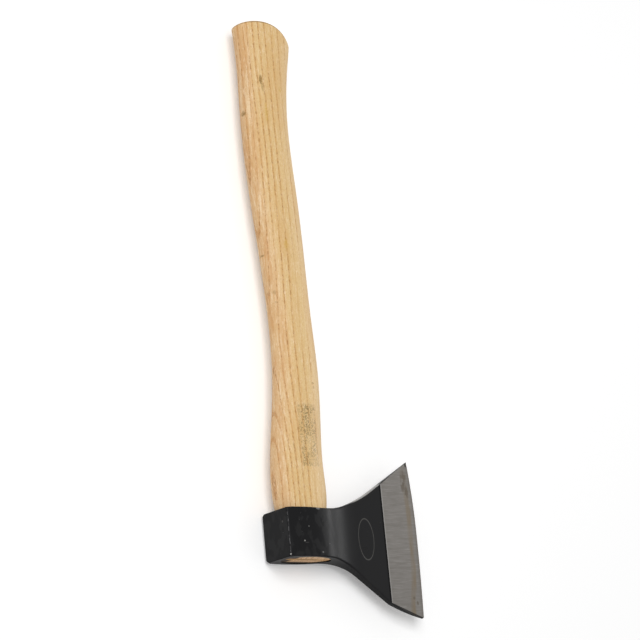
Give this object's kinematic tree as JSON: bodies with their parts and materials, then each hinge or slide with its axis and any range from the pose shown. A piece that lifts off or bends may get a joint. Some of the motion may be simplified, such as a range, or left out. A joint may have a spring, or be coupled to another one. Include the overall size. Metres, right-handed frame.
{
  "type": "hand axe",
  "caption": "Short-handled hand axe: black lacquered head with a flat poll and a wide flared bit with bare ground bevels, on a curved wooden handle with a flared end.",
  "frame": {"origin": "Middle of the axe's footprint, on the plane that it lies on.", "axes": "The axe lies on its side. +X runs from the poll face to the cutting edge, +Y up the handle from the head to the butt, +Z through the thickness, up from the cheek it lies on."},
  "size_m": [0.154, 0.54, 0.0415],
  "materials": {
    "black_lacquer": "satin",
    "handle_wood": "satin",
    "wedge_wood": "matte",
    "wedge_steel": "brushed"
  },
  "bodies": {
    "root": {"axe_head": "black_lacquer", "handle": "handle_wood", "wood_wedge": "wedge_wood", "steel_wedge": "wedge_steel"}
  },
  "joints": []
}
